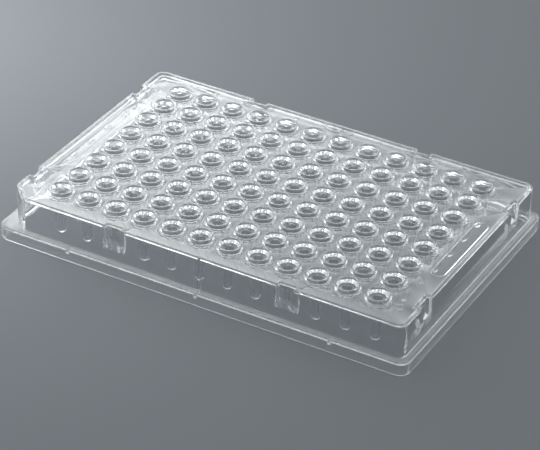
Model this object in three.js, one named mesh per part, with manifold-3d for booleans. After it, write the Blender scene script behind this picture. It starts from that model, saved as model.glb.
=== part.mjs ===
// A clear 96-well microplate, moulded in one piece. Millimetres, +Z up, A at the back and
// column 1 at the left. The origin is the centre of the footprint, on the bench.
//
// The plate is a thin inverted tray: a skirt with a ledge, an outer wall, a deck with a low
// perimeter lip, and one tapered tube below each well. Every tube opens through a countersunk
// mouth in a raised rim. Eight pockets in the wall are backed by housings that run its full
// height, and small webs stiffen the wall and the skirt from inside.

import * as THREE from 'three';
import { mergeGeometries, mergeVertices } from 'three/addons/utils/BufferGeometryUtils.js';
import Module from 'manifold-3d';

const wasm = await Module();
wasm.setup();

// Well grid
const columns = 12;
const rows = 8;
const wellPitch = 9;
const columnMargin = 14.38; // end of the plate to the centre of the nearest column
const rowMargin = 11.24; // side of the plate to the centre of the nearest row

// Heights
const stackingHeight = 14.35; // bench to the top of the perimeter lip
const rimRise = 0.75; // well rims above the lip
const lipRise = 0.35; // lip above the deck
const deckThickness = 0.7;
const tipClearance = 0.45; // bench to the tips of the tubes
const skirtHeight = 4.1;

// Skirt, wall and lip
const skirtThickness = 1.2;
const skirtCornerRadius = 3.2;
const ledgeWidth = 2;
const ledgeThickness = 1.1;
const wallThickness = 1.15;
const wallCornerRadius = 2.8;
const keyChamfer = 5.4; // cut corner of the wall beside well H1
const lipWidth = 1.1;

// Wells
const mouthRadius = 2.95;
const rimWidth = 0.7;
const rimFlare = 0.1; // how much wider the rim is at the deck than at its top
const boreRadius = 1.5; // at the foot of the countersink
const boreTaper = 0.6; // lost from the bore's radius by its floor
const tubeWall = 0.6;
const tipHeight = 1.1; // tapered end of a tube
const floorThickness = 1.2;

// Pockets, two in every side
const pocketPitches = 3; // from the middle of a side, in well pitches
const pocketWidth = 4.6;
const pocketDepth = 1.4; // into the plate
const pocketHeight = 5.2; // down from the lip
const pocketCornerRadius = 1.2;

// Webs
const webThickness = 0.8;
const webReach = 0.8; // from the wall's inner face
const skirtWebOffset = 41; // from the middle of a long side
const skirtWebFoot = 2.05; // bench to the foot of a skirt web

// Facets
const wellSides = 8;
const cornerSteps = 2;
const sharpestCorner = 0.1;
const mergeDistance = 1e-4; // corners closer than this are one
const overshoot = 1; // how far a cutting solid runs past the face it opens

const length = (columns - 1) * wellPitch + 2 * columnMargin;
const width = (rows - 1) * wellPitch + 2 * rowMargin;
const deckTop = stackingHeight - lipRise;
const deckUnderside = deckTop - deckThickness;
const rimTop = stackingHeight + rimRise;
const ledgeUnderside = skirtHeight - ledgeThickness;
const countersinkFoot = deckUnderside - tubeWall / 2; // where a mouth has narrowed to its bore
const pocketOffset = pocketPitches * wellPitch;

// A polygon with the same area as the circle needs its corners this much further out.
const facetScale = Math.sqrt((2 * Math.PI / wellSides) / Math.sin(2 * Math.PI / wellSides));

// Turns a closed geometry into a solid, with the corners that its faces share merged.
function solid(geometry) {
  const bare = new THREE.BufferGeometry();
  bare.setAttribute('position', geometry.getAttribute('position'));
  bare.setIndex(geometry.getIndex());
  const merged = mergeVertices(bare, mergeDistance);
  const index = merged.getIndex().array;
  const triangles = [];
  for (let i = 0; i < index.length; i += 3) {
    const [a, b, c] = index.subarray(i, i + 3);
    if (a !== b && b !== c && c !== a) triangles.push(a, b, c);
  }
  return new wasm.Manifold(new wasm.Mesh({
    numProp: 3,
    vertProperties: new Float32Array(merged.getAttribute('position').array),
    triVerts: new Uint32Array(triangles),
  }));
}

// An upright prism between two heights.
function prism(shape, low, high, curveSegments = cornerSteps) {
  const geometry = new THREE.ExtrudeGeometry(shape, {
    depth: high - low, steps: 1, bevelEnabled: false, curveSegments,
  });
  return solid(geometry.translate(0, 0, low));
}

// The plate's outline, drawn in from the edge of the footprint. The corner beside H1 is cut
// off straight where a chamfer is given.
function outline(inset, radius, chamfer = 0) {
  const x = length / 2 - inset;
  const y = width / 2 - inset;
  const r = Math.max(radius, sharpestCorner);
  const shape = new THREE.Shape();
  if (chamfer > 0) {
    shape.moveTo(-x, -y + chamfer);
    shape.lineTo(-x + chamfer, -y);
  } else {
    shape.moveTo(-x, -y + r);
    shape.absarc(-x + r, -y + r, r, Math.PI, 1.5 * Math.PI);
  }
  shape.lineTo(x - r, -y);
  shape.absarc(x - r, -y + r, r, -0.5 * Math.PI, 0);
  shape.lineTo(x, y - r);
  shape.absarc(x - r, y - r, r, 0, 0.5 * Math.PI);
  shape.lineTo(-x + r, y);
  shape.absarc(-x + r, y - r, r, 0.5 * Math.PI, Math.PI);
  shape.closePath();
  return shape;
}

// The chamfer of an outline drawn further in, so that the wall keeps its thickness there.
function chamferInside(inset) {
  return keyChamfer - inset * (2 - Math.SQRT2);
}

function rectangle(xLow, xHigh, yLow, yHigh) {
  const shape = new THREE.Shape();
  shape.moveTo(xLow, yLow);
  shape.lineTo(xHigh, yLow);
  shape.lineTo(xHigh, yHigh);
  shape.lineTo(xLow, yHigh);
  shape.closePath();
  return shape;
}

// Places a solid drawn for the front wall's middle, its face at y = 0 and the plate behind
// it, against one of the four walls.
function against(side, along, part) {
  const half = side % 2 === 0 ? width / 2 : length / 2;
  return part.translate([along, ledgeWidth - half, 0]).rotate([0, 0, 90 * side]);
}

// The recess of one pocket: round at its lower corners, open outward and upward.
function pocketCut() {
  const half = pocketWidth / 2;
  const floor = stackingHeight - pocketHeight;
  const r = pocketCornerRadius;
  const shape = new THREE.Shape();
  shape.moveTo(-half, rimTop + overshoot);
  shape.lineTo(-half, floor + r);
  shape.absarc(-half + r, floor + r, r, Math.PI, 1.5 * Math.PI);
  shape.lineTo(half - r, floor);
  shape.absarc(half - r, floor + r, r, -0.5 * Math.PI, 0);
  shape.lineTo(half, rimTop + overshoot);
  shape.closePath();
  const geometry = new THREE.ExtrudeGeometry(shape, {
    depth: pocketDepth + overshoot, steps: 1, bevelEnabled: false, curveSegments: cornerSteps,
  });
  geometry.rotateX(Math.PI / 2);
  return solid(geometry.translate(0, pocketDepth, 0));
}

// The wall that backs a pocket, from the given height up.
function pocketHousing(low, high, margin) {
  const half = pocketWidth / 2 + margin;
  return prism(rectangle(-half, half, -overshoot, pocketDepth + margin), low, high);
}

// One turned solid for each well.
function turnedAtWells(profile) {
  const points = profile.map(([r, z]) => new THREE.Vector2(r * facetScale, z));
  const one = new THREE.LatheGeometry(points, wellSides, Math.PI / wellSides);
  one.rotateX(Math.PI / 2);
  one.deleteAttribute('normal');
  one.deleteAttribute('uv');
  const copies = [];
  for (let row = 0; row < rows; row += 1) {
    for (let column = 0; column < columns; column += 1) {
      const x = (column - (columns - 1) / 2) * wellPitch;
      const y = ((rows - 1) / 2 - row) * wellPitch;
      copies.push(one.clone().translate(x, y, 0));
    }
  }
  return solid(mergeGeometries(copies));
}

// Rims and tubes, solid.
function wellBodies() {
  const tubeTopRadius = boreRadius + tubeWall;
  const tubeEndRadius = tubeTopRadius - boreTaper;
  return turnedAtWells([
    [0, tipClearance],
    [tubeEndRadius, tipClearance + tipHeight],
    [tubeTopRadius, deckUnderside],
    [tubeTopRadius, deckTop - deckThickness / 2],
    [mouthRadius + rimWidth + rimFlare, deckTop - deckThickness / 2],
    [mouthRadius + rimWidth + rimFlare, deckTop],
    [mouthRadius + rimWidth, rimTop],
    [0, rimTop],
  ]);
}

// The space inside every well, from the tapered floor to past the mouth.
function wellSpaces() {
  const slope = (mouthRadius - boreRadius) / (rimTop - countersinkFoot);
  const floor = tipClearance + floorThickness;
  return turnedAtWells([
    [0, floor],
    [boreRadius - boreTaper, floor + tipHeight],
    [boreRadius, countersinkFoot],
    [mouthRadius + slope * overshoot, rimTop + overshoot],
    [0, rimTop + overshoot],
  ]);
}

function tray() {
  const wallInset = ledgeWidth;
  const innerInset = wallInset + wallThickness;
  const lipInset = wallInset + lipWidth;
  const innerRadius = wallCornerRadius - wallThickness;

  let body = prism(outline(0, skirtCornerRadius), 0, skirtHeight);
  body = body.add(prism(outline(wallInset, wallCornerRadius, keyChamfer), 0, stackingHeight));

  let under = prism(outline(innerInset, innerRadius, chamferInside(wallThickness)),
    -overshoot, deckUnderside);
  let above = prism(outline(lipInset, wallCornerRadius - lipWidth, chamferInside(lipWidth)),
    deckTop, stackingHeight + overshoot);
  let skirtSpace = prism(outline(skirtThickness, skirtCornerRadius - skirtThickness),
    -overshoot, ledgeUnderside);

  for (let side = 0; side < 4; side += 1) {
    for (const along of [-pocketOffset, pocketOffset]) {
      under = under.subtract(against(side, along,
        pocketHousing(-2 * overshoot, rimTop, wallThickness)));
      above = above.subtract(against(side, along,
        pocketHousing(0, rimTop + 2 * overshoot, lipWidth)));
    }
  }
  const webHigh = ledgeUnderside + overshoot;
  for (const side of [0, 2]) {
    const web = rectangle(-webThickness / 2, webThickness / 2, 0, wallThickness + webReach);
    under = under.subtract(against(side, 0, prism(web, ledgeUnderside, stackingHeight)));
    for (const along of [-skirtWebOffset, 0, skirtWebOffset]) {
      const skirtWeb = rectangle(-webThickness / 2, webThickness / 2,
        -ledgeWidth, wallThickness);
      skirtSpace = skirtSpace.subtract(against(side, along,
        prism(skirtWeb, skirtWebFoot, webHigh)));
    }
  }
  return body.subtract(under).subtract(above).subtract(skirtSpace);
}

function plate() {
  let body = tray().add(wellBodies()).subtract(wellSpaces());
  for (let side = 0; side < 4; side += 1) {
    for (const along of [-pocketOffset, pocketOffset]) {
      body = body.subtract(against(side, along, pocketCut()));
    }
  }
  return body;
}

function geometryOf(body) {
  const mesh = body.getMesh();
  const geometry = new THREE.BufferGeometry();
  geometry.setAttribute('position', new THREE.BufferAttribute(mesh.vertProperties, 3));
  geometry.setIndex(new THREE.BufferAttribute(mesh.triVerts, 1));
  geometry.computeVertexNormals();
  return geometry;
}

const clearPolystyrene = new THREE.MeshStandardMaterial({
  color: 0xdfe5e8, roughness: 0.08, metalness: 0, transparent: true, opacity: 0.35,
});

const wellPlate = new THREE.Mesh(geometryOf(plate()), clearPolystyrene);
wellPlate.name = 'well_plate';

const group = new THREE.Group();
group.add(wellPlate);

export default group;
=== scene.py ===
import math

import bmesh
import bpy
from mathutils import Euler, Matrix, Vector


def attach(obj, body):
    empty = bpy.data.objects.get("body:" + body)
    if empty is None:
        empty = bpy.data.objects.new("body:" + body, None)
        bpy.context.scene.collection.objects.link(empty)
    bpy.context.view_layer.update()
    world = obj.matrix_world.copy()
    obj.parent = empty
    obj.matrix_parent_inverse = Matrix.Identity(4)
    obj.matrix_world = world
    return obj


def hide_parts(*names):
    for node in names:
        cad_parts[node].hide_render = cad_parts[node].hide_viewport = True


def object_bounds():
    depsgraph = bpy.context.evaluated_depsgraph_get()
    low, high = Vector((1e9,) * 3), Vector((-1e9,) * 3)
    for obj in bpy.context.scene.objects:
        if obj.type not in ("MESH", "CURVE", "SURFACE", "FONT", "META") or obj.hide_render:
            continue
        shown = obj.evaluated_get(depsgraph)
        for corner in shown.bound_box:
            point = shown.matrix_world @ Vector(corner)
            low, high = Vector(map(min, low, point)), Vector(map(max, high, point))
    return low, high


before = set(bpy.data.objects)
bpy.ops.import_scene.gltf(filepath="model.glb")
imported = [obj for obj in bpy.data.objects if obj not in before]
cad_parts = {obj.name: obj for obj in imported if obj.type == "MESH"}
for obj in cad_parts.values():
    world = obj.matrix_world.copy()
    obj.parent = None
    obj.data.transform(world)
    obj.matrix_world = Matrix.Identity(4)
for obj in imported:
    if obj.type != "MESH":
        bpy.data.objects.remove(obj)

# The look of a clear 96-well microplate: one thin moulded tray with a skirt, a ledge, a wall with
# eight pockets, a perimeter lip, and 96 rimmed wells that run down into tapered tubes.
#
# The plate's own lengths are in millimetres, with the origin at the centre of the footprint on
# the bench, +X towards column 12, +Y towards row A and +Z up. MM turns them into metres. The
# stage's lengths, at the end of the file, are in metres.
#
# The tray is one skin through a stack of rings, from the deck up over the lip, down the wall,
# over the ledge, round the skirt's foot and up the inside. Every ring has the same number of
# points, so that each joins the next. The wells are turned skins, and the deck's two faces are
# filled in between.

cad_low, cad_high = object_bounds()

MM = 0.001
LENGTH = (cad_high.x - cad_low.x) / MM
WIDTH = (cad_high.y - cad_low.y) / MM
RIM_TOP = cad_high.z / MM

# Well grid
COLUMNS = 12
ROWS = 8
PITCH = 9.0

# Heights
STACKING_HEIGHT = 14.35
DECK_TOP = 14.0
DECK_UNDERSIDE = 13.3
LEDGE_TOP = 4.1
LEDGE_UNDERSIDE = 3.0
WEB_FOOT = 2.05

# Skirt, wall and lip, each inset measured inward from the edge of the footprint
SKIRT_INNER_INSET = 1.2
WALL_INSET = 2.0
WALL_INNER_INSET = 3.15
LIP_INNER_INSET = 3.1
SKIRT_CORNER = 3.2
WALL_CORNER = 2.8
KEY_CHAMFER = 5.4
KEY_FILLET = 0.8

# Pockets, two in every side, and the housings that back them
POCKET_OFFSET = 3 * PITCH  # from the middle of a side
POCKET_HALF = 2.3
POCKET_DEPTH = 1.4
POCKET_FLOOR = 9.15
POCKET_CORNER = 1.2  # radius of the lower corners, seen from the side
POCKET_MOUTH = 0.05  # rounding where a pocket opens in the wall's face, seen from above
POCKET_ROOT = 0.6  # rounding at a pocket's back, seen from above
HOUSING_FOOT = 6.8  # height at which a housing starts to stand out from the wall
HOUSING_FULL = 8.6  # height at which it has reached its full depth

# Webs
WEB_HALF = 0.4
WALL_WEB_REACH = 0.8
SKIRT_WEB_OFFSET = 41.0

# Small roundings left by the mould
EDGE = 0.22
FINE_EDGE = 0.12
SKIRT_FOOT = 0.45
ROOT = 0.3  # where two faces meet in an inner corner

# Steps in a rounding, and around a well
CORNER_STEPS = 4
POCKET_STEPS = 4
EDGE_STEPS = 3
WELL_STEPS = 28

# Limits within which two points, or two directions, count as one
MERGE_DISTANCE = 1e-4
SAME_HEIGHT = 1e-3
UPRIGHT = 1e-4
LEVEL = 1e-5
SQUARE = 1e-3

# Faces that meet at more than this angle, in degrees, show a crisp edge.
SHARP_ANGLE = 32

# A corner cut at 45 degrees with this share of its fillet's radius is round all the way.
ROUND_SHARE = 2 - math.sqrt(2)


def arc(steps):
    """Angles from 0 to a right angle."""
    return [math.pi / 2 * k / steps for k in range(steps + 1)]


def convex(radius, steps=EDGE_STEPS):
    """A rounded outer edge, as (into the material, up) from a vertical face to its top."""
    return [(radius * (1 - math.cos(a)), radius * (math.sin(a) - 1)) for a in arc(steps)]


def concave(radius, steps=EDGE_STEPS):
    """A rounded inner edge, as (into the material, up) from a floor to a vertical face."""
    return [(radius * (math.sin(a) - 1), radius * (1 - math.cos(a))) for a in arc(steps)]


# ---- Plan outlines ------------------------------------------------------------------------------


def corner_points(half_run, chamfer, fillet):
    """The corner that starts a side, as (along, inward): two arcs and a 45 degree flat between."""
    tangent = fillet * math.tan(math.pi / 8)
    centres = [(-half_run + fillet, chamfer + tangent), (-half_run + chamfer + tangent, fillet)]
    points = []
    for number, (along, inward) in enumerate(centres):
        for k in range(CORNER_STEPS + 1):
            a = math.pi + math.pi / 4 * (number + k / CORNER_STEPS)
            points.append((along + fillet * math.cos(a), inward + fillet * math.sin(a)))
    return points


def pocket_points(centre, half, depth, mouth, root):
    """Round a pocket, as (along, inward): rounded at its mouth and at its back."""
    near, far = [], []
    for a in arc(POCKET_STEPS):
        near.append((half + mouth * (1 - math.sin(a)), mouth * (1 - math.cos(a))))
        far.append((half - root * (1 - math.cos(a)), depth - root * (1 - math.sin(a))))
    outer = near + far
    left = [(centre - along, inward) for along, inward in outer]
    right = [(centre + along, inward) for along, inward in reversed(outer)]
    return left + right


def web_points(centre, reach):
    """Round the end of a web, as (along, inward)."""
    low, high = centre - WEB_HALF, centre + WEB_HALF
    return [(low, 0), (low, reach), (high, reach), (high, 0)]


class Ring:
    """One level line of the tray: the footprint drawn in by an inset, at one height."""

    def __init__(self, z, inset, corner, chamfer=None, fillet=None):
        self.z = z
        self.inset = inset
        self.corner = corner
        self.chamfer = ROUND_SHARE * corner if chamfer is None else chamfer
        self.fillet = corner if fillet is None else fillet
        self.half = POCKET_HALF
        self.mouth = EDGE
        self.root = EDGE
        self.sunk = 0.0
        self.wall_web = 0.0
        self.skirt_web = 0.0

    def pockets(self, half, mouth, root, sunk=1.0):
        """Takes the line round the pockets, sunk by a share of their depth."""
        self.half, self.mouth, self.root, self.sunk = half, mouth, root, sunk
        return self

    def webs(self, wall=0.0, skirt=0.0):
        """Takes the line round the webs on the long sides, by how far they reach inward."""
        self.wall_web, self.skirt_web = wall, skirt
        return self

    def side(self, number):
        """One side's points in plan, its corner first."""
        is_long = number % 2 == 0
        half_run = (LENGTH if is_long else WIDTH) / 2 - self.inset
        half_gap = (WIDTH if is_long else LENGTH) / 2 - self.inset
        cut, fillet = self.chamfer, self.fillet
        if number > 0:
            cut, fillet = ROUND_SHARE * self.corner, self.corner
        features = [corner_points(half_run, cut, fillet)]
        for offset in (-POCKET_OFFSET, POCKET_OFFSET):
            features.append(self.pocket(offset))
        if is_long:
            features.insert(1, web_points(-SKIRT_WEB_OFFSET, self.skirt_web))
            features.insert(3, web_points(0, self.wall_web + self.skirt_web))
            features.append(web_points(SKIRT_WEB_OFFSET, self.skirt_web))
        turn = Matrix.Rotation(math.pi / 2 * number, 2)
        return [turn @ Vector((u, v - half_gap)) for part in features for u, v in part]

    def pocket(self, offset):
        """The points round one pocket, or across its place where it isn't sunk at all."""
        points = pocket_points(offset, self.half, POCKET_DEPTH, self.mouth, self.root)
        return [(along, inward * self.sunk) for along, inward in points]

    def points(self):
        """All four sides' points, at the ring's height."""
        return [Vector((*p, self.z)) for number in range(4) for p in self.side(number)]


def skirt_ring(z, inset):
    """A line of the skirt, drawn in from the edge of the footprint."""
    return Ring(z, inset, SKIRT_CORNER - inset)


def wall_ring(z, cut, half=POCKET_HALF, sunk=1.0, inset=WALL_INSET, outward=1):
    """A line of the wall, cut into its material, from its outer face or from an inner one."""
    drawn = inset - WALL_INSET + outward * cut
    ring = Ring(z, WALL_INSET + drawn, WALL_CORNER - drawn,
                KEY_CHAMFER - ROUND_SHARE * drawn, max(KEY_FILLET - drawn, FINE_EDGE))
    mouth, root = (POCKET_MOUTH, POCKET_ROOT) if outward > 0 else (ROOT, ROOT)
    return ring.pockets(half + inset - WALL_INSET + outward * cut, mouth, root, sunk)


def lip_ring(z, cut):
    """A line of the lip's inner face, cut into its material."""
    return wall_ring(z, cut, inset=LIP_INNER_INSET, outward=-1)


def inside_ring(z, cut, sunk=1.0):
    """A line of the wall's inner face, round the housings and the middle webs."""
    ring = wall_ring(z, cut, sunk=sunk, inset=WALL_INNER_INSET, outward=-1)
    return ring.webs(wall=WALL_WEB_REACH)


# ---- The tray -----------------------------------------------------------------------------------


def lip_rings():
    """From the deck, up the lip's inner face and over its top."""
    rings = [lip_ring(DECK_TOP + up, cut) for cut, up in concave(FINE_EDGE)]
    rings += [lip_ring(STACKING_HEIGHT + up, cut) for cut, up in convex(EDGE)]
    rings += [wall_ring(STACKING_HEIGHT + up, cut) for cut, up in reversed(convex(EDGE))]
    return rings


def pocket_rings():
    """Down the wall past the pockets, which are round at their lower corners."""
    rings = []
    for a in reversed(arc(POCKET_STEPS)):
        rise = POCKET_CORNER * (1 - math.cos(a))
        half = POCKET_HALF - POCKET_CORNER * (1 - math.sin(a))
        sunk = 1 - max(0.0, EDGE - rise) / POCKET_DEPTH
        rings.append(wall_ring(POCKET_FLOOR + rise, 0, half, sunk))
    for cut, up in reversed(convex(EDGE)):
        rings.append(wall_ring(POCKET_FLOOR + up, 0, rings[-1].half, cut / POCKET_DEPTH))
    return rings


def skirt_rings():
    """From the foot of the wall over the ledge and down the skirt, to the ledge's underside."""
    foot = POCKET_HALF - POCKET_CORNER
    rings = [wall_ring(LEDGE_TOP + up, cut, foot, 0) for cut, up in reversed(concave(ROOT))]
    rings += [skirt_ring(LEDGE_TOP + up, cut) for cut, up in reversed(convex(FINE_EDGE))]
    rings += [skirt_ring(-up, cut) for cut, up in convex(SKIRT_FOOT)]
    rings += [skirt_ring(-up, SKIRT_INNER_INSET - cut) for cut, up in reversed(convex(EDGE))]
    reach = WALL_INNER_INSET - SKIRT_INNER_INSET
    rings.append(skirt_ring(WEB_FOOT, SKIRT_INNER_INSET))
    rings.append(skirt_ring(WEB_FOOT, SKIRT_INNER_INSET).webs(skirt=reach))
    rings.append(skirt_ring(LEDGE_UNDERSIDE, SKIRT_INNER_INSET).webs(skirt=reach))
    return rings


def inside_rings():
    """Up the wall's inner face to the deck, swelling inward round the backs of the pockets."""
    rings = [inside_ring(LEDGE_UNDERSIDE - up, cut, 0) for cut, up in reversed(convex(FINE_EDGE))]
    rings += [inside_ring(HOUSING_FOOT, 0, 0), inside_ring(HOUSING_FULL, 0)]
    rings += [inside_ring(DECK_UNDERSIDE - up, cut) for cut, up in reversed(concave(ROOT))]
    return rings


def add_tray(bm):
    """The tray as one skin, open where the deck's two faces go."""
    rings = lip_rings() + pocket_rings() + skirt_rings() + inside_rings()
    rows = [[bm.verts.new(point) for point in ring.points()] for ring in rings]
    count = len(rows[0])
    for upper, lower in zip(rows, rows[1:]):
        for k in range(count):
            after = (k + 1) % count
            bm.faces.new((upper[k], lower[k], lower[after], upper[after]))
    bmesh.ops.remove_doubles(bm, verts=bm.verts, dist=MERGE_DISTANCE)


# ---- The wells ----------------------------------------------------------------------------------

# Rim, and the low collar round it: radii, but for the widths and rises
MOUTH = 2.95
RIM_WIDTH = 0.7
RIM_EDGE = 0.1
RIM_ROOT = 0.07
COLLAR = 4.25
COLLAR_RISE = 0.22
COLLAR_EDGE = 0.03

# Cup in the mouth, with its lower corner as (outward, up) from the edge of its floor
CUP = 2.42
CUP_FLOOR = 13.8
CUP_CORNER = ((0.03, 0.12), (0, 0.04), (-0.09, 0))

# Bore, which narrows from the cup's floor down to a round end
BORE = 1.35
BORE_CHAMFER_WIDTH = 0.05
BORE_CHAMFER_DEPTH = 0.1
BORE_END = 0.8
BORE_FLOOR = 1.7

# Outside of the tube, from the deck's underside down to a round tip
TUBE = 2.15
TUBE_END = 1.4
TUBE_TIP = 0.45
END_STEPS = 5


def rim_profile():
    """From the deck over a low collar and the rim, and down the well, as (radius, height)."""
    outer, collar_top = MOUTH + RIM_WIDTH, DECK_TOP + COLLAR_RISE
    points = [(COLLAR, DECK_TOP), (COLLAR - COLLAR_EDGE, collar_top)]
    points += [(outer + RIM_ROOT, collar_top), (outer + COLLAR_EDGE, collar_top + COLLAR_EDGE)]
    points += [(outer - cut, RIM_TOP + up) for cut, up in convex(RIM_EDGE)]
    points += [(MOUTH + cut, RIM_TOP + up) for cut, up in reversed(convex(RIM_EDGE))]
    points += [(CUP + out, CUP_FLOOR + up) for out, up in CUP_CORNER]
    points += [(BORE, CUP_FLOOR), (BORE - BORE_CHAMFER_WIDTH, CUP_FLOOR - BORE_CHAMFER_DEPTH)]
    return points + bowl(BORE_END, BORE_FLOOR)


def bowl(radius, bottom):
    """A hemisphere from its rim down to the axis, as (radius, height)."""
    return [(radius * math.cos(a), bottom + radius * (1 - math.sin(a))) for a in arc(END_STEPS)]


def tube_profile():
    """From the deck's underside down the outside of a tube, as (radius, height)."""
    points = [(TUBE - cut, DECK_UNDERSIDE - up) for cut, up in concave(ROOT)]
    return points + bowl(TUBE_END, TUBE_TIP)


def add_lathe(bm, centre, profile):
    """A skin turned about a well's axis, open at its first radius and closed at its last."""
    above = None
    for radius, z in profile[:-1]:
        row = []
        for k in range(WELL_STEPS):
            a = 2 * math.pi * (k + 0.5) / WELL_STEPS
            row.append(bm.verts.new((centre.x + radius * math.cos(a),
                                     centre.y + radius * math.sin(a), z)))
        if above:
            for k in range(WELL_STEPS):
                after = (k + 1) % WELL_STEPS
                bm.faces.new((above[k], row[k], row[after], above[after]))
        above = row
    tip = bm.verts.new((centre.x, centre.y, profile[-1][1]))
    for k in range(WELL_STEPS):
        bm.faces.new((above[k], tip, above[(k + 1) % WELL_STEPS]))


def column_x(column):
    """A column's place along the plate, counted from 0 at the left."""
    return (column - (COLUMNS - 1) / 2) * PITCH


def row_y(row):
    """A row's place across the plate, counted from 0 at the back."""
    return ((ROWS - 1) / 2 - row) * PITCH


def well_centres():
    """Every well's place in plan, row by row from A1."""
    for row in range(ROWS):
        for column in range(COLUMNS):
            yield Vector((column_x(column), row_y(row)))


def add_wells(bm):
    """The rims, bores and tubes, open where the deck's two faces go."""
    for centre in well_centres():
        add_lathe(bm, centre, rim_profile())
        add_lathe(bm, centre, tube_profile())


def fill_deck(bm, z):
    """Fills the plane between the tray's open edge and the wells' at one height."""
    edges = [edge for edge in bm.edges if edge.is_boundary
             and all(abs(vert.co.z - z) < SAME_HEIGHT for vert in edge.verts)]
    bmesh.ops.triangle_fill(bm, edges=edges, use_beauty=True)


def is_flat(normal):
    """True for a face that looks straight up or down, or squarely or at 45 degrees sideways."""
    if abs(normal.z) > UPRIGHT:
        return abs(normal.z) > 1 - LEVEL
    eighths = math.atan2(normal.y, normal.x) / (math.pi / 4)
    return abs(eighths - round(eighths)) < SQUARE


def finish_mesh(bm, name):
    """Shades flat faces flat and the rest smooth, and scales the mesh to metres."""
    bmesh.ops.recalc_face_normals(bm, faces=bm.faces)
    for face in bm.faces:
        face.smooth = not is_flat(face.normal)
    bmesh.ops.scale(bm, vec=(MM, MM, MM), verts=bm.verts)
    mesh = bpy.data.meshes.new(name)
    bm.to_mesh(mesh)
    bm.free()
    mesh.set_sharp_from_angle(angle=math.radians(SHARP_ANGLE))
    return mesh


# ---- The marks ----------------------------------------------------------------------------------

# Raised letters and numbers
ROW_LETTERS = "ABCDEFGH"
LETTER_X = -57.3
NUMBER_Y = 38.0
MARK_SIZE = 3.6
MARK_RISE = 0.15
MARK_ROOT = 0.2  # how far a mark runs down into the deck
MARK_CURVE_STEPS = 3

# Raised line round the long pad at the right
LONG_PAD = Vector((57.8, 0.5))
LONG_PAD_HALF_WIDTH = 2.0
LONG_PAD_HALF_LENGTH = 15.0
LONG_PAD_STEPS = 8
RIDGE_RISE = 0.1
RIDGE_HALF = 0.13


def obround(centre, half_width, half_length):
    """A slot's outline that runs along Y."""
    reach = half_length - half_width
    points = []
    for end in (1, -1):
        for k in range(LONG_PAD_STEPS + 1):
            a = math.pi * k / LONG_PAD_STEPS + (0 if end > 0 else math.pi)
            points.append((centre.x + half_width * math.cos(a),
                           centre.y + end * reach + half_width * math.sin(a)))
    return points


def add_ridge(bm):
    """A thin raised line round the long pad at the right."""
    rows = []
    for out, up in ((1, -MARK_ROOT), (1, 0), (0, RIDGE_RISE), (-1, 0), (-1, -MARK_ROOT)):
        line = obround(LONG_PAD, LONG_PAD_HALF_WIDTH + out * RIDGE_HALF,
                       LONG_PAD_HALF_LENGTH + out * RIDGE_HALF)
        rows.append([bm.verts.new((x, y, DECK_TOP + up)) for x, y in line])
    for near, far in zip(rows, rows[1:] + rows[:1]):
        for k in range(len(near)):
            after = (k + 1) % len(near)
            bm.faces.new((near[k], near[after], far[after], far[k]))


def add_character(bm, character, centre):
    """A raised letter or number on the deck."""
    text = bpy.data.curves.new("mark", "FONT")
    text.body = character
    text.size = MARK_SIZE
    text.extrude = (MARK_RISE + MARK_ROOT) / 2
    text.resolution_u = MARK_CURVE_STEPS
    text.align_x = text.align_y = "CENTER"
    holder = bpy.data.objects.new("mark", text)
    shape = bpy.data.meshes.new_from_object(holder)
    shape.transform(Matrix.Translation((*centre, DECK_TOP + (MARK_RISE - MARK_ROOT) / 2)))
    bm.from_mesh(shape)
    bpy.data.objects.remove(holder)
    bpy.data.curves.remove(text)
    bpy.data.meshes.remove(shape)


def make_marks():
    """Row letters at the left, column numbers at the back, and the long pad's line."""
    bm = bmesh.new()
    for row in range(ROWS):
        add_character(bm, ROW_LETTERS[row], Vector((LETTER_X, row_y(row))))
    for column in range(COLUMNS):
        add_character(bm, str(column + 1), Vector((column_x(column), NUMBER_Y)))
    bmesh.ops.remove_doubles(bm, verts=bm.verts, dist=MERGE_DISTANCE)
    add_ridge(bm)
    bmesh.ops.recalc_face_normals(bm, faces=bm.faces)
    return linked_object(bm, "marks")


def linked_object(bm, name):
    """An object in the scene, made from a mesh that is then given up."""
    mesh = bpy.data.meshes.new(name)
    bm.to_mesh(mesh)
    bm.free()
    made = bpy.data.objects.new(name, mesh)
    bpy.context.scene.collection.objects.link(made)
    return made


def with_marks(body):
    """The body's mesh with the marks joined on."""
    marks = make_marks()
    join = body.modifiers.new("marks", "BOOLEAN")
    join.operation = "UNION"
    join.solver = "MANIFOLD"
    join.object = marks
    joined = body.evaluated_get(bpy.context.evaluated_depsgraph_get()).data.copy()
    body.modifiers.remove(join)
    bpy.data.objects.remove(marks)
    return joined


def make_plate():
    """The whole plate as one closed mesh."""
    bm = bmesh.new()
    add_tray(bm)
    add_wells(bm)
    fill_deck(bm, DECK_TOP)
    fill_deck(bm, DECK_UNDERSIDE)
    bmesh.ops.recalc_face_normals(bm, faces=bm.faces)
    plate = linked_object(bm, "clear_plate")
    bm = bmesh.new()
    bm.from_mesh(with_marks(plate))
    plate.data = finish_mesh(bm, "clear_plate")
    return plate


# ---- Shader nodes -------------------------------------------------------------------------------


def feed(tree, socket, value):
    """Links another node's output to a socket, or sets a plain number on it."""
    if isinstance(value, bpy.types.NodeSocket):
        tree.links.new(value, socket)
    else:
        socket.default_value = value


def maths(tree, operation, first, second):
    """The result of a maths node on two values."""
    made = tree.nodes.new("ShaderNodeMath")
    made.operation = operation
    feed(tree, made.inputs[0], first)
    feed(tree, made.inputs[1], second)
    return made.outputs["Value"]


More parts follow.
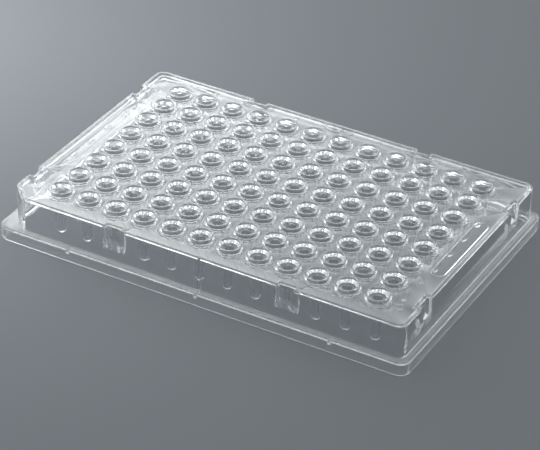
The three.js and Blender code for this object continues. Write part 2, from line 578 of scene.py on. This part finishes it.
def remapped(tree, value, source, target, interpolation="LINEAR"):
    """A value carried from one span to another, and held at its ends."""
    made = tree.nodes.new("ShaderNodeMapRange")
    made.interpolation_type = interpolation
    made.inputs["From Min"].default_value, made.inputs["From Max"].default_value = source
    made.inputs["To Min"].default_value, made.inputs["To Max"].default_value = target
    tree.links.new(value, made.inputs["Value"])
    return made.outputs["Result"]


def vector_node(tree, operation, vector):
    """A vector maths node with its first vector linked."""
    made = tree.nodes.new("ShaderNodeVectorMath")
    made.operation = operation
    tree.links.new(vector, made.inputs[0])
    return made


def split_vector(tree, vector):
    """A vector's x, y and z."""
    made = tree.nodes.new("ShaderNodeSeparateXYZ")
    tree.links.new(vector, made.inputs["Vector"])
    return made.outputs["X"], made.outputs["Y"], made.outputs["Z"]


# ---- Material -----------------------------------------------------------------------------------

PLASTIC_COLOUR = (0.96, 0.975, 0.98, 1)
PLASTIC_IOR = 1.59

# Faint waviness of the moulded surface
WAVE_SCALE = 350  # waves to a metre
WAVE_DETAIL = 2
WAVE_STRENGTH = 0.15
WAVE_DEPTH = 0.0001  # metres
POLISH = (0.01, 0.06)  # roughness from the troughs to the crests of the waves

# Satin of the skirt and ledge, within a band from the edge of the footprint
SKIRT_ROUGHNESS = 0.22
SATIN_WIDTH = 4.0

# Share of the light that reaches what lies under the plastic
LIGHT_THROUGH = (0.96, 0.96, 0.96, 1)


def clear_plastic():
    """Clear polystyrene, polished but for the satin skirt."""
    material = bpy.data.materials.new("clear_plastic")
    material.use_nodes = True
    tree = material.node_tree
    shader = tree.nodes["Principled BSDF"]
    shader.inputs["Base Color"].default_value = PLASTIC_COLOUR
    shader.inputs["IOR"].default_value = PLASTIC_IOR
    shader.inputs["Transmission Weight"].default_value = 1.0
    place = tree.nodes.new("ShaderNodeTexCoord").outputs["Object"]
    waves = mould_waves(tree, place)
    polish = remapped(tree, waves, (0, 1), POLISH)
    roughness = maths(tree, "ADD", polish, skirt_satin(tree, place))
    tree.links.new(roughness, shader.inputs["Roughness"])
    tree.links.new(wave_relief(tree, waves), shader.inputs["Normal"])
    let_light_through(tree, shader)
    return material


def mould_waves(tree, place):
    """The height of the mould's faint waves, from 0 to 1."""
    waves = tree.nodes.new("ShaderNodeTexNoise")
    waves.inputs["Scale"].default_value = WAVE_SCALE
    waves.inputs["Detail"].default_value = WAVE_DETAIL
    tree.links.new(place, waves.inputs["Vector"])
    return waves.outputs["Fac"]


def wave_relief(tree, waves):
    """The waves as a tilt of the surface."""
    bump = tree.nodes.new("ShaderNodeBump")
    bump.inputs["Strength"].default_value = WAVE_STRENGTH
    bump.inputs["Distance"].default_value = WAVE_DEPTH
    tree.links.new(waves, bump.inputs["Height"])
    return bump.outputs["Normal"]


def skirt_satin(tree, place):
    """The extra roughness of the skirt and ledge, which is nothing anywhere else."""
    mirrored = vector_node(tree, "ABSOLUTE", place).outputs["Vector"]
    past = vector_node(tree, "SUBTRACT", mirrored)
    past.inputs[1].default_value = (MM * (LENGTH / 2 - SATIN_WIDTH),
                                    MM * (WIDTH / 2 - SATIN_WIDTH), MM * LEDGE_TOP)
    across, along, above = split_vector(tree, past.outputs["Vector"])
    beyond = maths(tree, "MAXIMUM", across, along)
    outer = remapped(tree, beyond, (0, ROOT * MM), (0, 1))
    low = remapped(tree, above, (ROOT * MM, 0), (0, SKIRT_ROUGHNESS))
    return maths(tree, "MULTIPLY", outer, low)


def let_light_through(tree, shader):
    """Lets the lamps and the world reach what lies under the plastic, with a soft pale shadow."""
    path = tree.nodes.new("ShaderNodeLightPath")
    either = maths(tree, "MAXIMUM", path.outputs["Is Shadow Ray"],
                   path.outputs["Is Diffuse Ray"])
    clear = tree.nodes.new("ShaderNodeBsdfTransparent")
    clear.inputs["Color"].default_value = LIGHT_THROUGH
    mix = tree.nodes.new("ShaderNodeMixShader")
    tree.links.new(either, mix.inputs["Fac"])
    tree.links.new(shader.outputs["BSDF"], mix.inputs[1])
    tree.links.new(clear.outputs["BSDF"], mix.inputs[2])
    tree.links.new(mix.outputs["Shader"], tree.nodes["Material Output"].inputs["Surface"])


# ---- Stage, light and camera --------------------------------------------------------------------

FLOOR_SIZE = 6
FLOOR_COLOUR = (0.192, 0.205, 0.222, 1)
FLOOR_ROUGHNESS = 0.9

# Share of a soft light's face across which it fades towards every edge, and the face's middle
LIGHT_FADE = 0.4
MIDDLE = 0.5

# The studio's brightness: a share for the way a direction faces, from far from the bright side
# to straight at it, times a share for how high it points, from this far up to straight overhead
STUDIO_COLOUR = (0.93, 0.97, 1.0, 1)
BRIGHT_SIDE = (-0.57, 0.82, 0)
SIDE_SPAN = (-0.6, 1)
SIDE_LIGHT = (0.6, 1.1)
HEIGHT_SPAN = (0.5, 1)
HEIGHT_LIGHT = (1.0, 0.3)

# The camera stands this far round from the front and up from the bench, in degrees.
CAMERA_AZIMUTH = 28.722
CAMERA_ELEVATION = 32.932
CAMERA_ROLL = 1.625
CAMERA_DISTANCE = 0.7025
CAMERA_AIM = Vector((-0.00212, 0.00287, 0))
CAMERA_LENS = 165.5
CAMERA_SENSOR = 36

# Bounces a ray may need to cross the plate's many clear walls
BOUNCES = 40


def make_floor():
    """A plain floor under the plate."""
    bpy.ops.mesh.primitive_plane_add(size=FLOOR_SIZE)
    floor = bpy.context.object
    floor.name = "floor"
    material = bpy.data.materials.new("floor")
    material.use_nodes = True
    shader = material.node_tree.nodes["Principled BSDF"]
    shader.inputs["Base Color"].default_value = FLOOR_COLOUR
    shader.inputs["Roughness"].default_value = FLOOR_ROUGHNESS
    floor.data.materials.append(material)


def edge_fade(tree):
    """The share of a soft light's strength at each point of its face."""
    shape = tree.nodes.new("ShaderNodeNewGeometry")
    across, along, _ = split_vector(tree, shape.outputs["Parametric"])
    shares = []
    for place in (across, along):
        from_edge = maths(tree, "PINGPONG", place, MIDDLE)
        shares.append(remapped(tree, from_edge, (0, LIGHT_FADE), (0, 1), "SMOOTHSTEP"))
    return maths(tree, "MULTIPLY", *shares)


def make_softbox(name, place, aim, size, radiance):
    """A soft light that fades towards every edge of its face."""
    lamp = bpy.data.lights.new(name, "AREA")
    lamp.shape = "RECTANGLE"
    lamp.size, lamp.size_y = size
    lamp.energy = radiance * math.pi * size[0] * size[1]
    lamp.use_nodes = True
    tree = lamp.node_tree
    tree.links.new(edge_fade(tree), tree.nodes["Emission"].inputs["Strength"])
    light = bpy.data.objects.new(name, lamp)
    light.location = place
    light.rotation_euler = (Vector(aim) - Vector(place)).to_track_quat("-Z", "Y").to_euler()
    bpy.context.scene.collection.objects.link(light)
    return light


def make_lights():
    """A large soft light behind the plate, and a small one low on the left."""
    make_softbox("back_softbox", place=(-0.45, 0.47, 0.23), aim=(-0.05, 0, 0.03),
                 size=(0.75, 0.56), radiance=3.3)
    left = make_softbox("left_softbox", place=(-0.2, 0.02, 0.12), aim=(-0.05, 0, 0),
                        size=(0.2, 0.2), radiance=8.0)
    # The left light brightens the floor, and neither shines nor shows in the plastic.
    left.visible_glossy = False
    left.visible_transmission = False


def make_world():
    """A studio that is brightest towards the back left and dim overhead."""
    world = bpy.data.worlds.new("studio")
    world.use_nodes = True
    tree = world.node_tree
    direction = tree.nodes.new("ShaderNodeTexCoord").outputs["Generated"]
    facing = vector_node(tree, "DOT_PRODUCT", direction)
    facing.inputs[1].default_value = BRIGHT_SIDE
    side = remapped(tree, facing.outputs["Value"], SIDE_SPAN, SIDE_LIGHT)
    height = remapped(tree, split_vector(tree, direction)[2], HEIGHT_SPAN, HEIGHT_LIGHT)
    background = tree.nodes["Background"]
    background.inputs["Color"].default_value = STUDIO_COLOUR
    tree.links.new(maths(tree, "MULTIPLY", side, height), background.inputs["Strength"])
    bpy.context.scene.world = world


def make_camera():
    """A long lens, a little rolled, above the front of the plate and to its right."""
    azimuth, elevation = math.radians(CAMERA_AZIMUTH), math.radians(CAMERA_ELEVATION)
    back = Vector((math.sin(azimuth) * math.cos(elevation),
                   -math.cos(azimuth) * math.cos(elevation), math.sin(elevation)))
    data = bpy.data.cameras.new("camera")
    data.lens = CAMERA_LENS
    data.sensor_width = CAMERA_SENSOR
    camera = bpy.data.objects.new("camera", data)
    camera.location = CAMERA_AIM + back * CAMERA_DISTANCE
    level = (-back).to_track_quat("-Z", "Y")
    roll = Euler((0, 0, math.radians(CAMERA_ROLL))).to_quaternion()
    camera.rotation_euler = (level @ roll).to_euler()
    bpy.context.scene.collection.objects.link(camera)
    bpy.context.scene.camera = camera


def set_rendering():
    """Plain colour, and enough bounces for clear plastic."""
    scene = bpy.context.scene
    scene.view_settings.view_transform = "Standard"
    scene.cycles.max_bounces = BOUNCES
    scene.cycles.glossy_bounces = BOUNCES
    scene.cycles.transmission_bounces = BOUNCES
    scene.cycles.transparent_max_bounces = BOUNCES


# ---- The scene ----------------------------------------------------------------------------------

plate = make_plate()
plate.data.materials.append(clear_plastic())
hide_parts("well_plate")
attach(plate, "root")

make_floor()
make_world()
make_lights()
make_camera()
set_rendering()
